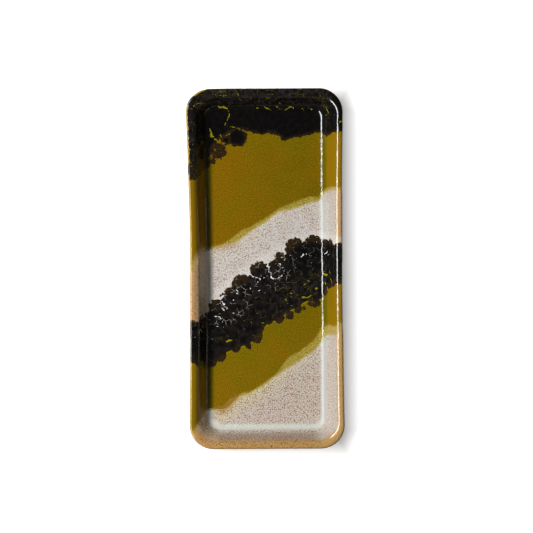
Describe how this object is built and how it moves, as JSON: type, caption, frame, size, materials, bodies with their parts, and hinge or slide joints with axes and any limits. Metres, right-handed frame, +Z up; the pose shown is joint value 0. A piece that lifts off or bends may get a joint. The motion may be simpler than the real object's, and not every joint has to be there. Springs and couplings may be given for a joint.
{
  "type": "serving dish",
  "caption": "long shallow rectangular stoneware serving dish with a sloping wall, rolled rim and foot ring, olive glaze with poured bands of white and crackled black",
  "frame": {"origin": "on the table plane under the middle of the dish's bounding box", "axes": "+Y along the dish, towards the end with the black band; +X across it; +Z up out of the well"},
  "size_m": [0.0962, 0.22, 0.018],
  "materials": {
    "clay": "unglazed fired stoneware, matt",
    "olive_glaze": "glossy olive ash glaze",
    "black_glaze": "glossy black crawl glaze",
    "white_glaze": "glossy speckled white glaze"
  },
  "bodies": {
    "root": {"stoneware_body": "clay", "olive_base_glaze": "olive_glaze", "black_glaze_upper": "black_glaze", "white_glaze_upper": "white_glaze", "black_glaze_middle": "black_glaze", "white_glaze_lower": "white_glaze"}
  },
  "joints": []
}
